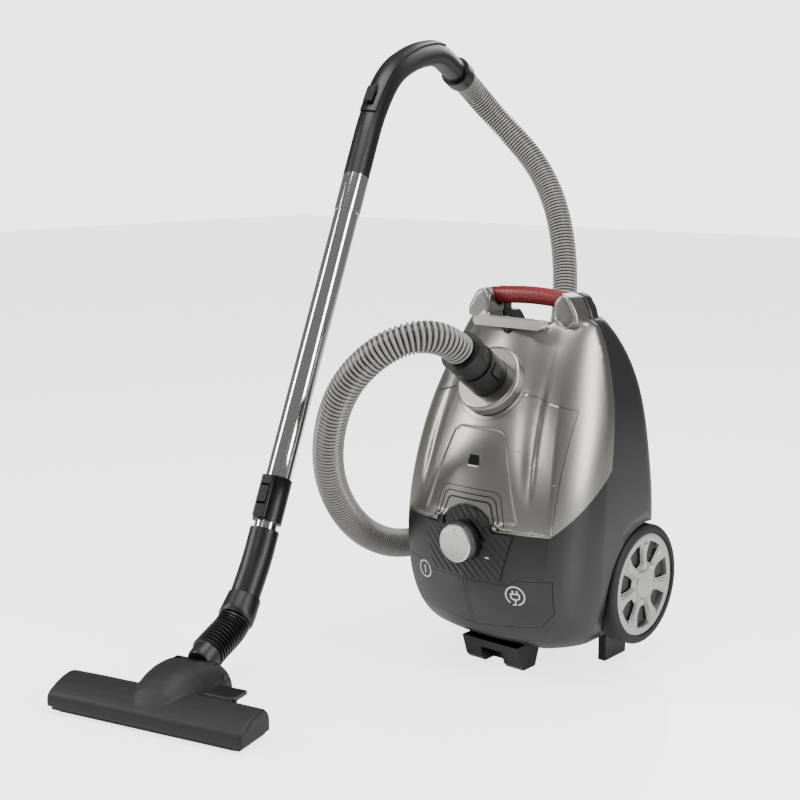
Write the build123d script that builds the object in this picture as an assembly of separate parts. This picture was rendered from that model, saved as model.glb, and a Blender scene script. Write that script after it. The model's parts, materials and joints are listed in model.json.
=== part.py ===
from build123d import *
import math
import os

# Canister vacuum cleaner, parked upright beside its wand and floor head.
# Millimetres. +Z is up and the canister's front faces -Y.

# ---- driving dimensions -------------------------------------------------------------------
CANISTER_X, CANISTER_Y = 136.5, 137.7      # floor point under the middle of the canister
WALL = 2.6                                 # thickness of the canister's shells
GAP = 0.5                                  # open joint line round a moving cover

# One row per level of the canister's body: height, half width at the widest, half width at
# the front crease, y of the crease, y of the front's middle, y of the underside.
LEVELS = [
    (34, 100, 70, -102, -112, 40),
    (62, 124, 92, -138, -153, 49),
    (105, 138, 104, -155, -175, 53),
    (155, 142, 109, -160, -182, 54),
    (215, 143, 110, -156, -178, 52),
    (275, 140, 106, -144, -167, 47),
    (330, 134, 99, -126, -150, 42),
    (382, 122, 88, -103, -127, 35),
    (424, 107, 75, -82, -104, 20),
    (452, 90, 64, -64, -84, -2),
]
REAR_CORNER = 34                           # corner radius beside the underside
SEAM_TOP = 500                             # above the top of everything on the canister

# The side view of the seams between silver front, dark rear and dark lower shells (y, z).
SEAM_REAR = [(-36, SEAM_TOP), (-37, 421), (-48, 355), (-67, 272)]
SEAM_FRONT = [(-157, 199), (-300, 199)]
SEAM_SIDE = [(-44, 205), (-30, 106), (-30, 0)]

WHEEL_RADIUS, WHEEL_WIDTH = 79.0, 32.0
WHEEL_Y, WHEEL_Z = 15.0, 106.0
WHEEL_INNER_X = 113.0                      # inner face of each wheel
AXLE_RADIUS = 5.0
CAP_RADIUS = WHEEL_RADIUS - 11
RUNNING = 0.05                             # radial clearance of a running fit

ARCH_X = 106.0                             # inner wall of each wheel hollow
SPOKES = 7

HINGE_Y, HINGE_Z, HINGE_RADIUS = -179.5, 204.0, 1.5        # lid hinge along its lower edge
PANEL_FACE = -184.6                        # y of the control panel's front
EXHAUST_SPAN = (205, 300)                  # low and high z of the exhaust window
CASTER_Z, CASTER_WHEEL_Y, CASTER_STEM = 365.0, 73.0, 8.0
OUTLET_X, OUTLET_Z, OUTLET_RADIUS = -62.0, 150.0, 9.0      # mains cord outlet

PORT_Y, PORT_Z, PORT_TILT = -131.0, 378.0, 35.0
PORT_RADIUS, RING_RADIUS = 31.0, 45.0
CUFF_RADIUS, CUFF_LENGTH = 27.0, 76.0

KNOB_Z, KNOB_RADIUS = 182.0, 24.0
PANEL_ARCH = 44.0                          # radius of the control panel's arched top
GRIP_Y, GRIP_Z, GRIP_HALF = -44.0, 476.0, 55.0
LATCH_Y, LATCH_Z, LATCH_HALF = -92.0, 448.0, 52.0

HOSE_RADIUS = 20.0
HOSE_BORE = 16.0

# The wand and head stand in their own frame: x across the head, y back, z up.
HOSE_PARTS = {"hose_loop": (0, 7), "hose_riser": (8, 11), "hose_top": (12, 18)}    # corners of each length

MOTOR_Y, MOTOR_Z, FAN_BLADES = -38.0, 124.0, 9
REEL_Y, REEL_Z = -38.0, 124.0
GRILLE_SLOTS = 8

WAND_X, WAND_Y, WAND_YAW = -179.0, -557.0, 14.0
HEAD_HALF, HEAD_DEPTH, HEAD_HEIGHT = 138.0, 62.0, 38.0
PIVOT_Y, PIVOT_Z = 112.0, 36.0             # tilt axis of the neck
TUBE_LEAN = 29.8                           # lean of the chrome tubes from the vertical
TUBE_RADIUS, INNER_RADIUS, TUBE_WALL = 17.0, 15.2, 1.2
TUBE_FOOT = (272.0, 166.0)                 # y, z where the chrome tubes come out of the elbow
TUBE_LENGTH = 524.0
ELBOW_ROUTE = [(276, 173), (256, 138), (226, 99)]
NECK_ROUTE = [(225.8, 98.7), (202.2, 68.1), (120, 48)]
HANDLE_RADIUS = 18.5
SLIDER_PLACE, SLIDER_LEAN, SLIDER_DEPTH = (0, 579, 741), 38.0, 0.0
YOKE_RADIUS, NECK_RIBS = 16.0, 7
ROLLER_Y, ROLLER_Z = 122.0, 6.8
ROLLER_WELL_HALF = 44
HANDLE_ROUTE = [(532, 621), (583, 710), (640, 768), (720, 796), (800, 806), (868, 781)]

# The hose's route beside the canister, measured from the floor point under it.
HOSE_ROUTE = [
    (-46, -280, 436), (-112, -294, 370), (-168, -258, 262), (-192, -184, 168), (-191, -98, 118),
    (-192, 5, 112), (-188, 112, 150), (-188, 206, 212), (-194, 284, 290), (-208, 340, 380),
    (-230, 376, 474), (-262, 398, 560), (-308, 408, 630), (-358, 396, 684), (-388, 372, 724),
]
HOSE_EXIT_RUNS = (45.0, 30.0)              # straight runs out of the cuff and out of the collar


# ---- helpers ------------------------------------------------------------------------------
nodes = {}
canister = Pos(CANISTER_X, CANISTER_Y, 0)
wand = canister * Pos(WAND_X, WAND_Y, 0) * Rot(0, 0, WAND_YAW)


def keep(name, shape, place=canister):
    """Name one piece and stand it in the shared frame."""
    nodes[name] = place * shape


def largest(shape):
    """The main solid of a shape, without loose offcuts."""
    return max(shape.solids(), key=lambda solid: solid.volume)


def block(x, y, z):
    """A box from its low and high values along each axis."""
    size = (x[1] - x[0], y[1] - y[0], z[1] - z[0])
    centre = ((x[0] + x[1]) / 2, (y[0] + y[1]) / 2, (z[0] + z[1]) / 2)
    return Pos(*centre) * Box(*size)


def rod_x(radius, x, y, z):
    """A round bar along X between two values of x."""
    return Pos((x[0] + x[1]) / 2, y, z) * Rot(0, 90, 0) * Cylinder(radius, x[1] - x[0])


def rod_y(radius, x, y, z):
    """A round bar along Y between two values of y."""
    return Pos(x, (y[0] + y[1]) / 2, z) * Rot(90, 0, 0) * Cylinder(radius, y[1] - y[0])


def rod_z(radius, low, high):
    """A round bar on the local Z axis."""
    return Pos(0, 0, (low + high) / 2) * Cylinder(radius, high - low)


def side_prism(outline, half=400):
    """A (y, z) outline carried across the full width."""
    return extrude(Plane.YZ * Polygon(*outline, align=None), half, both=True)


def front_prism(outline):
    """An (x, z) outline carried through the full depth."""
    return extrude(Plane.XZ * Polygon(*outline, align=None), 400, both=True)


def mirrored(outline):
    """Close a right-hand (x, z) outline with its mirror image."""
    return outline + [(-x, z) for x, z in reversed(outline)]


def both_sides(shape):
    """A piece and its mirror image across the middle plane."""
    return [shape, mirror(shape, Plane.YZ)]


def level_wire(row, grow):
    """One level of the body's outer form, grown or shrunk by a wall."""
    z, wide, crease, crease_y, front, rear = row
    wide, crease = wide + grow, crease + grow
    crease_y, front, rear = crease_y - 0.8 * grow, front - grow, rear + grow
    depth = rear - crease_y
    side_y = crease_y + 0.35 * depth
    corner = min(REAR_CORNER, 0.35 * depth)
    bulge = 0.07 * (side_y - crease_y)
    mid = ((wide + crease) / 2 + bulge, (side_y + crease_y) / 2 - bulge)
    turn = corner * (1 - math.sqrt(0.5))
    edges = [
        Line((wide - corner, rear, z), (corner - wide, rear, z)),
        ThreePointArc((corner - wide, rear, z), (turn - wide, rear - turn, z), (-wide, rear - corner, z)),
        Line((-wide, rear - corner, z), (-wide, side_y, z)),
        ThreePointArc((-wide, side_y, z), (-mid[0], mid[1], z), (-crease, crease_y, z)),
        ThreePointArc((-crease, crease_y, z), (0, front, z), (crease, crease_y, z)),
        ThreePointArc((crease, crease_y, z), (mid[0], mid[1], z), (wide, side_y, z)),
        Line((wide, side_y, z), (wide, rear - corner, z)),
        ThreePointArc((wide, rear - corner, z), (wide - turn, rear - turn, z), (wide - corner, rear, z)),
    ]
    return Wire(edges)


def body_form(grow):
    """The canister's outer form, grown outwards or shrunk inwards."""
    rows = [list(row) for row in LEVELS]
    rows[0][0] -= grow
    rows[-1][0] += grow
    return Solid.make_loft([level_wire(row, grow) for row in rows])


def route_radii(points):
    """The largest arc that each corner of a route has room for."""
    radii = []
    for before, corner, after in zip(points, points[1:], points[2:]):
        into, out = Vector(corner) - Vector(before), Vector(after) - Vector(corner)
        half_turn = math.radians(into.get_angle(out)) / 2
        radii.append(0.45 * min(into.length, out.length) / math.tan(half_turn))
    return radii


def tube_along(points, radius, bore=0.0):
    """A round bar or tube along straight runs joined by tangent arcs."""
    path = FilletPolyline(*points, radius=route_radii(points))
    start = Plane(origin=points[0], z_dir=Vector(points[1]) - Vector(points[0]))
    bar = sweep(start * Circle(radius), path=path)
    if bore:
        bar -= sweep(start * Circle(bore), path=path)
    return bar


def in_wand_plane(points):
    """Lift (y, z) points of the wand's own plane into space."""
    return [(0, y, z) for y, z in points]


def tube_frame(distance):
    """A place on the chrome tubes' axis, with local Z up the tube."""
    lean = math.radians(TUBE_LEAN)
    y = TUBE_FOOT[0] + distance * math.sin(lean)
    z = TUBE_FOOT[1] + distance * math.cos(lean)
    return Pos(0, y, z) * Rot(-TUBE_LEAN, 0, 0)


# ---- canister shells ----------------------------------------------------------------------
VALLEY = block((-49, 49), (-80, 90), (437, SEAM_TOP))          # the hand space under the grip
VALLEY_FLOOR = block((-49 - WALL, 49 + WALL), (-80 - WALL, 90), (437 - WALL, SEAM_TOP))
PORT = Pos(0, PORT_Y, PORT_Z) * Rot(90 - PORT_TILT, 0, 0)

FRONT_HALF = block((-200, 200), (-300, -100), (0, 400))

outer = body_form(0) - VALLEY
inner = body_form(-WALL) - VALLEY_FLOOR
shell = outer - inner
silver_side = side_prism([SEAM_FRONT[1], SEAM_FRONT[0]] + SEAM_REAR[::-1] + [(-300, SEAM_TOP)])
rear_side = side_prism(SEAM_REAR + SEAM_SIDE + [(200, 0), (200, SEAM_TOP)])
lower_side = side_prism([SEAM_FRONT[1], SEAM_FRONT[0], SEAM_REAR[3]] + SEAM_SIDE + [(-300, 0)])

LID_OUTLINE = mirrored([(113, 201), (113, 348), (52, 366)])
PEDAL_OUTLINE = [(2, 67), (96, 80), (112, 100), (114, 144), (72, 141), (60, 133), (2, 133)]
PANEL_OUTLINE = mirrored([(52, 137), (68, 197), (40, 197)])


def horns():
    """The two raised shoulders that carry the grip."""
    outline = [(50, 436), (86, 449), (84, 462), (72, 481), (60, 485), (50, 476)]
    blank = extrude(Plane.XZ * Polygon(*outline, align=None), 400, both=True)
    blank &= block((0, 200), (-70, -16), (430, SEAM_TOP))
    return both_sides(blank)


def grip_bar(radius):
    """The slightly arched bar between the shoulders."""
    ends = (GRIP_HALF + 4, GRIP_Y, GRIP_Z - 3)
    path = ThreePointArc((-ends[0], ends[1], ends[2]), (0, GRIP_Y, GRIP_Z + 1), ends)
    section = Plane(origin=(-ends[0], ends[1], ends[2]), z_dir=path % 0) * Ellipse(radius * 1.25, radius)
    return sweep(section, path=path)


def wheel_arch(radius, inner_x):
    """The round hollow in each side that a wheel turns in."""
    return both_sides(rod_x(radius, (inner_x, 200), WHEEL_Y, WHEEL_Z))


def panel_prism(gap):
    """The control panel's outline, with its arched top, carried through the depth."""
    arch = rod_y(PANEL_ARCH + gap, 0, (-300, -100), KNOB_Z) & block((-90, 90), (-300, 0), (160, 260))
    return (front_prism(PANEL_OUTLINE) & block((-90, 90), (-300, -100), (0, 400))) + arch


def drawn_in_lid():
    """The lid's outline drawn in by its joint line."""
    outline = offset(Plane.XZ * Polygon(*LID_OUTLINE, align=None), -GAP)
    return extrude(outline, 400, both=True)


def make_shells():
    """Silver front, dark rear, dark lower front and the lid between them."""
    lid_zone = front_prism(LID_OUTLINE) & FRONT_HALF & silver_side
    lid_zone -= PORT * rod_z(RING_RADIUS + 5, -60, 60)
    lid_zone -= panel_prism(1.0)
    latch_pocket = block((-LATCH_HALF - 1, LATCH_HALF + 1), (-130, LATCH_Y + 10), (440, 470))
    shoulders = horns()
    grip_seat = grip_bar(9.0)

    upper = (shell & silver_side) - PORT * rod_z(RING_RADIUS, -60, 60) - latch_pocket - lid_zone
    for horn in shoulders:
        upper += (horn - inner) & silver_side
    upper -= Pos(0, LATCH_Y + 4, 0) * rod_z(10.5, 415, 470)
    keep("upper_front_shell", upper - grip_seat - panel_prism(0.4))

    rear = shell & rear_side
    for horn in shoulders:
        rear += (horn - inner) & rear_side
    rear = with_arches(rear, rear_side)
    rear -= block((-64, 64), (30, 70), EXHAUST_SPAN)
    rear += rod_y(CASTER_STEM + 3, 0, (24, 43), CASTER_Z)
    rear -= rod_y(CASTER_STEM + RUNNING, 0, (0, 80), CASTER_Z)
    rear -= rod_y(OUTLET_RADIUS, OUTLET_X, (0, 90), OUTLET_Z)
    rear -= rod_x(AXLE_RADIUS, (-ARCH_X - 8, ARCH_X + 8), WHEEL_Y, WHEEL_Z)
    keep("rear_housing", rear - grip_seat)

    lower = with_arches(shell & lower_side, lower_side) - panel_prism(0.4)
    pedal_half = block((-200, 200), (-300, -60), (0, 400))
    for side in both_sides(front_prism(PEDAL_OUTLINE) & pedal_half):
        lower -= side
    keep("lower_front_shell", lower)

    lid = shell & drawn_in_lid() & FRONT_HALF & silver_side
    lid -= PORT * rod_z(RING_RADIUS + 5 + GAP, -60, 60)
    lid -= panel_prism(1.0 + GAP)
    for x in (-46, 46):
        knuckle = rod_x(HINGE_RADIUS + 1.6, (x - 3, x + 3), HINGE_Y, HINGE_Z)
        knuckle += block((x - 3, x + 3), (HINGE_Y, HINGE_Y + 9), (HINGE_Z, HINGE_Z + 5))
        lid += knuckle
        lid -= rod_x(HINGE_RADIUS + RUNNING, (x - 4, x + 4), HINGE_Y, HINGE_Z)
    keep("bag_lid", largest(lid))


def with_arches(blank, region):
    """Add the two wheel hollows' walls to one shell and open the hollows."""
    for arch in wheel_arch(WHEEL_RADIUS + 5 + WALL, ARCH_X - WALL):
        blank += arch & outer & region
    for arch in wheel_arch(WHEEL_RADIUS + 5, ARCH_X):
        blank -= arch
    return blank


make_shells()


# ---- canister fittings --------------------------------------------------------------------
def make_grip_and_latch():
    """Carry grip between the shoulders and the lid's release bar below it."""
    grip = grip_bar(9.0)
    keep("carry_grip", grip)
    bar = block((-LATCH_HALF, LATCH_HALF), (LATCH_Y - 9, LATCH_Y + 9), (441, 452))
    bar = fillet(bar.edges().filter_by(Axis.Y), 5.2)
    bar += block((-7, 7), (LATCH_Y + 2, LATCH_Y + 6), (424, 442))
    keep("latch_bar", bar)
    spring = Pos(0, LATCH_Y + 4, 0) * (rod_z(9.5, 426, 440) - rod_z(8.6, 420, 450))
    keep("latch_spring", spring)


def make_port():
    """Raised ring round the hose port, the duct behind it, and the turning cuff."""
    ring = PORT * rod_z(RING_RADIUS, -8, 8)
    ring = fillet(ring.edges().group_by(Axis.Y)[0], 4.5)
    ring -= PORT * rod_z(CUFF_RADIUS + 0.4, -60, 60)
    keep("port_ring", ring)
    duct = PORT * (rod_z(30, -52, -8) - rod_z(27.5, -60, 0))
    keep("inlet_duct", duct)

    cuff = rod_z(CUFF_RADIUS, -6, 44) + rod_z(CUFF_RADIUS - 2.5, 44, 62) + rod_z(CUFF_RADIUS, 62, CUFF_LENGTH)
    cuff -= rod_z(HOSE_BORE, -20, 90)
    for side in (-1, 1):
        cuff -= Pos(side * (CUFF_RADIUS + 2), 0, 28) * Box(12, 16, 20)
    clips = [Pos(side * (CUFF_RADIUS - 1.4), 0, 28) * Box(4.6, 14, 18) for side in (-1, 1)]
    keep("hose_cuff", PORT * Compound(children=[*cuff.solids(), *clips]))


def make_panel():
    """Control panel, its knob, the bag window and the board behind."""
    plate = (body_form(2.5) - body_form(-WALL)) & panel_prism(0) & FRONT_HALF
    plate -= rod_y(9, 0, (-300, -100), KNOB_Z)
    for side in (-1, 1):
        stub = block((side * 38 - 4, side * 38 + 4), (HINGE_Y - 3, HINGE_Y + 6), (198, 208))
        plate += stub & panel_prism(0)
    plate -= rod_x(HINGE_RADIUS, (-60, 60), HINGE_Y, HINGE_Z)
    keep("control_panel", plate)
    keep("lid_hinge_pin", rod_x(HINGE_RADIUS, (-50, 50), HINGE_Y, HINGE_Z))

    face = PANEL_FACE
    skirt = rod_y(KNOB_RADIUS + 2.5, 0, (face - 7, face - 0.6), KNOB_Z)
    skirt += rod_y(8.7, 0, (face - 1, face + 14), KNOB_Z)
    keep("knob_skirt", skirt)
    cap = rod_y(KNOB_RADIUS, 0, (face - 18, face - 7), KNOB_Z)
    cap = chamfer(cap.edges().group_by(Axis.Y)[0], 1.5)
    cap -= rod_y(1.4, 0, (face - 30, face - 16.6), KNOB_Z + 18)
    keep("power_knob", cap)
    board = [block((-48, 48), (-154, -152.4), (150, 196)), block((-10, 10), (-164, -154), (172, 192))]
    keep("control_board", Compound(children=board))

    window_zone = front_prism(mirrored([(9, 276), (6, 288)])) & FRONT_HALF
    keep("bag_full_window", (body_form(0.6) - body_form(-WALL - 1)) & window_zone)
    nodes["bag_lid"] -= canister * window_zone


def make_pedals():
    """Two big pedals in the dark lower front, each on its own spring."""
    half = block((0, 200), (-300, -60), (0, 400))
    zone = extrude(offset(Plane.XZ * Polygon(*PEDAL_OUTLINE, align=None), -GAP), 400, both=True) & half
    zone -= panel_prism(1.2)
    pad = shell & zone
    pad += block((40, 60), (-175, -150), (94, 114)) & inner
    for name, piece in zip(("rewind_pedal", "power_pedal"), both_sides(pad)):
        keep(name, piece)
    spring = rod_y(7, 50, (-149.5, -136), 104) - rod_y(6, 50, (-160, -120), 104)
    keep("pedal_springs", Compound(children=both_sides(spring)))


def make_wheels():
    """Two large wheels: black tyre on its disc and a spoked silver cap, on a stub axle each."""
    outer_x = WHEEL_INNER_X + WHEEL_WIDTH
    for label, side in (("right", 1), ("left", -1)):
        tyre = rod_x(WHEEL_RADIUS, (WHEEL_INNER_X, outer_x), WHEEL_Y, WHEEL_Z)
        tyre = fillet(tyre.edges(), 6)
        tyre -= rod_x(CAP_RADIUS, (outer_x - 14, 200), WHEEL_Y, WHEEL_Z)
        tyre -= rod_x(CAP_RADIUS, (0, WHEEL_INNER_X + 4), WHEEL_Y, WHEEL_Z)
        tyre -= rod_x(AXLE_RADIUS + RUNNING, (0, 200), WHEEL_Y, WHEEL_Z)
        cap = rod_x(CAP_RADIUS, (outer_x - 14, outer_x - 2), WHEEL_Y, WHEEL_Z)
        cap -= rod_x(AXLE_RADIUS + RUNNING, (0, outer_x - 10), WHEEL_Y, WHEEL_Z)
        for number in range(SPOKES):
            turn = 360 * (number + 0.5) / SPOKES
            slot = extrude(Plane.YZ * Polygon((30, 4), (60, 10), (60, -10), (30, -4), align=None), 400, both=True)
            cap -= Pos(0, WHEEL_Y, WHEEL_Z) * Rot(turn, 0, 0) * slot
        for name, piece in (("wheel_tyre", tyre), ("wheel_cap", cap)):
            keep(f"{name}_{label}", piece if side > 0 else mirror(piece, Plane.YZ))
    stub = rod_x(AXLE_RADIUS, (96, outer_x - 11), WHEEL_Y, WHEEL_Z)
    keep("wheel_axles", Compound(children=both_sides(stub)))


def make_caster():
    """Swivelling caster on the underside, which carries the front when it lies flat."""
    fork = rod_y(CASTER_STEM, 0, (24, 50), CASTER_Z) + block((-15, 15), (47, 53), (CASTER_Z - 14, CASTER_Z + 30))
    for x in (-15, 11.5):
        fork += block((x, x + 3.5), (50, 82), (CASTER_Z + 8, CASTER_Z + 28))
    fork += rod_x(2.5, (-15, 15), CASTER_WHEEL_Y, CASTER_Z + 18)
    keep("caster_fork", fork)
    roller = rod_x(20, (-10.5, 10.5), CASTER_WHEEL_Y, CASTER_Z + 18)
    roller = fillet(roller.edges(), 4) - rod_x(2.5 + RUNNING, (-30, 30), CASTER_WHEEL_Y, CASTER_Z + 18)
    keep("caster_wheel", roller)


def make_feet():
    """Rear feet and the parking bracket that the canister stands on."""
    foot = block((94, 105), (-14, 36), (0, 60)) - outer
    keep("rear_feet", Compound(children=both_sides(foot)))
    side = [(-128, 34), (-118, 6), (-112, 0), (-86, 0), (-74, 34)]
    bracket = side_prism(side, 44) - outer
    bracket -= block((-17, 17), (-140, -94), (-1, 22))
    keep("parking_bracket", bracket)


def make_inside():
    """Bag, filters, motor and cord reel, each in its place behind the shells."""
    bulkhead = body_form(-WALL - 0.2) & block((-200, 200), (-300, 200), (203, 206))
    bulkhead -= rod_z(40, 190, 220).moved(Location((-40, -40, 0)))
    bulkhead -= panel_prism(0) + block((-56, 56), (-300, -164), (200, 210))
    keep("motor_bulkhead", bulkhead)
    bag = block((-92, 92), (-128, -4), (226, 322))
    bag = fillet(bag.edges(), 22)
    keep("dust_bag", bag)
    keep("motor_filter", block((-84, 4), (-84, 4), (206.2, 216)))

    casing = rod_x(50, (-98, -8), MOTOR_Y, MOTOR_Z) - rod_x(46, (-95, -11), MOTOR_Y, MOTOR_Z)
    casing -= rod_x(20, (-12, 0), MOTOR_Y, MOTOR_Z)
    casing += rod_x(34, (-96, -42), MOTOR_Y, MOTOR_Z)
    keep("motor_case", casing)
    fan = rod_x(42, (-34, -31), MOTOR_Y, MOTOR_Z) + rod_x(9, (-38, -18), MOTOR_Y, MOTOR_Z)
    for number in range(FAN_BLADES):
        blade = Pos(0, MOTOR_Y, MOTOR_Z) * Rot(360 * number / FAN_BLADES, 0, 0) * Pos(-26, 24, 0) * Box(10.4, 34, 2)
        fan += blade
    keep("motor_fan", fan)

    drum = rod_x(30, (42, 92), REEL_Y, REEL_Z) + rod_x(56, (40, 43), REEL_Y, REEL_Z)
    drum += rod_x(56, (91, 94), REEL_Y, REEL_Z)
    drum -= rod_x(6 + RUNNING, (0, 200), REEL_Y, REEL_Z)
    keep("cord_reel", drum)
    keep("reel_axle", rod_x(6, (36, 98), REEL_Y, REEL_Z) + block((98, 101), (REEL_Y - 12, REEL_Y + 12),
                                                               (REEL_Z - 12, REEL_Z + 12)))
    keep("exhaust_filter", block((-60, 60), (28, 40), (209, 296)))
    grille = (shell & block((-63.5, 63.5), (30, 70), (EXHAUST_SPAN[0] + 0.5, EXHAUST_SPAN[1] - 0.5)))
    for number in range(GRILLE_SLOTS):
        low = EXHAUST_SPAN[0] + 8 + 10 * number
        grille -= block((-54, 54), (0, 100), (low, low + 5))
    keep("exhaust_grille", grille)
    gland = rod_y(OUTLET_RADIUS, OUTLET_X, (48, 58), OUTLET_Z) - rod_y(4.5, OUTLET_X, (0, 90), OUTLET_Z)
    keep("cord_outlet", gland)
    screws = [rod_y(3.5, x, (47, 56), z) for x in (-80, 80) for z in (60, 195)]
    nodes["rear_housing"] -= canister * Compound(children=screws)
    keep("housing_screws", Compound(children=screws))


# ---- wand and hose ------------------------------------------------------------------------
def make_tubes():
    """Telescopic chrome tubes with their catch."""
    lower = rod_z(INNER_RADIUS, -14, TUBE_LENGTH - 30) - rod_z(INNER_RADIUS - TUBE_WALL, -60, TUBE_LENGTH)
    keep("inner_tube", tube_frame(0) * lower, wand)
    upper = rod_z(TUBE_RADIUS, 26, TUBE_LENGTH) + rod_z(TUBE_RADIUS + 1.3, TUBE_LENGTH - 56, TUBE_LENGTH)
    upper -= rod_z(TUBE_RADIUS - TUBE_WALL, -60, TUBE_LENGTH + 60)
    keep("outer_tube", tube_frame(0) * upper, wand)
    bush = rod_z(TUBE_RADIUS - TUBE_WALL, 27, 60) - rod_z(INNER_RADIUS + RUNNING, 0, 100)
    keep("tube_bush", tube_frame(0) * bush, wand)

    shell_out = rod_z(TUBE_RADIUS + 2.6, 18, 78)
    nose = Pos(0, -TUBE_RADIUS - 3, 48) * Box(20, 14, 56)
    nose = fillet(nose.edges().filter_by(Axis.Z), 4)
    catch = shell_out + nose
    catch -= rod_z(TUBE_RADIUS, 26, 100) + rod_z(INNER_RADIUS + 0.3, 0, 100)
    catch -= Pos(0, -TUBE_RADIUS - 8, 50) * Box(13, 10, 28)
    keep("catch_housing", tube_frame(0) * catch, wand)
    button = Pos(0, -TUBE_RADIUS - 8.4, 50) * Box(12.2, 6, 22)
    button = fillet(button.edges().filter_by(Axis.Y), 3)
    keep("catch_button", tube_frame(0) * button, wand)


def make_handle():
    """Bent handle, its top cover and slider, and the hose's swivel collar."""
    route = in_wand_plane(HANDLE_ROUTE)
    keep("wand_handle", tube_along(route, HANDLE_RADIUS, 15), wand)
    strip = side_prism([(596, 706), (645, 752), (720, 780), (806, 788), (806, 850), (700, 850), (560, 800),
                        (545, 720)], 13)
    cover = (tube_along(route, HANDLE_RADIUS + 2.5) - tube_along(route, HANDLE_RADIUS)) & strip
    slot = Pos(*SLIDER_PLACE) * Rot(-SLIDER_LEAN, 0, 0)
    cover -= slot * Box(15, 12, 40)
    keep("handle_cover", largest(cover), wand)
    slider = slot * Pos(0, SLIDER_DEPTH, -5) * Box(13.6, 4.6, 26)
    keep("relief_slider", slider, wand)
    end = Vector(0, *HANDLE_ROUTE[-1])
    aim = end - Vector(0, *HANDLE_ROUTE[-2])
    collar_place = Plane(origin=end, z_dir=aim)
    collar = (Cylinder(24, 24) - Cylinder(HOSE_BORE, 40))
    keep("hose_collar", Location(collar_place) * Pos(0, 0, 12.4) * collar, wand)
    return wand * Location(collar_place) * Pos(0, 0, 24.7)


def make_hose(collar_end):
    """The hose in three lengths, cut square in the middle of a straight run."""
    cuff_end = canister * PORT * Pos(0, 0, CUFF_LENGTH + 0.3)
    points = [cuff_end.position, (cuff_end * Pos(0, 0, HOSE_EXIT_RUNS[0])).position]
    points += [Vector(*p) + Vector(CANISTER_X, CANISTER_Y, 0) for p in HOSE_ROUTE]
    points += [(collar_end * Pos(0, 0, HOSE_EXIT_RUNS[1])).position, collar_end.position]
    radii = route_radii(points)
    last_point = len(points) - 1
    for name, (first, last) in HOSE_PARTS.items():
        start = points[0] if first == 0 else (points[first - 1] + points[first]) / 2
        end = points[-1] if last == last_point else (points[last] + points[last + 1]) / 2
        corners = points[max(first, 1):min(last + 1, last_point)]
        corner_radii = radii[max(first, 1) - 1:min(last + 1, last_point) - 1]
        path = FilletPolyline(start, *corners, end, radius=corner_radii)
        square = Plane(origin=start, z_dir=corners[0] - start)
        hose = sweep(square * Circle(HOSE_RADIUS), path=path) - sweep(square * Circle(HOSE_BORE), path=path)
        section = math.pi * (HOSE_RADIUS ** 2 - HOSE_BORE ** 2)
        print(name, "radii", [round(r) for r in corner_radii], "length", round(path.length),
              "volume over section times length", round(hose.volume / (section * path.length), 4))
        keep(name, hose, Pos(0, 0, 0))


# ---- floor head ---------------------------------------------------------------------------
def make_neck():
    """Elbow, ribbed neck and the yoke that tilts in the head."""
    elbow = tube_along(in_wand_plane(ELBOW_ROUTE), 19.5, INNER_RADIUS)
    keep("wand_elbow", elbow - tube_frame(0) * rod_z(INNER_RADIUS, -30, 60), wand)
    neck = tube_along(in_wand_plane(NECK_ROUTE), 18.5, 13)
    path_start = Plane(origin=(0, *NECK_ROUTE[0]), z_dir=Vector(0, *NECK_ROUTE[1]) - Vector(0, *NECK_ROUTE[0]))
    for number in range(NECK_RIBS):
        ring = Pos(0, 0, 6 + 4.4 * number) * (Cylinder(21.5, 2) - Cylinder(18, 4))
        neck += Location(path_start) * ring
    yoke = rod_x(YOKE_RADIUS, (-30, 30), PIVOT_Y, PIVOT_Z)
    neck += yoke
    neck -= rod_x(3 + RUNNING, (-60, 60), PIVOT_Y, PIVOT_Z)
    keep("ribbed_neck", neck, wand)


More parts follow.
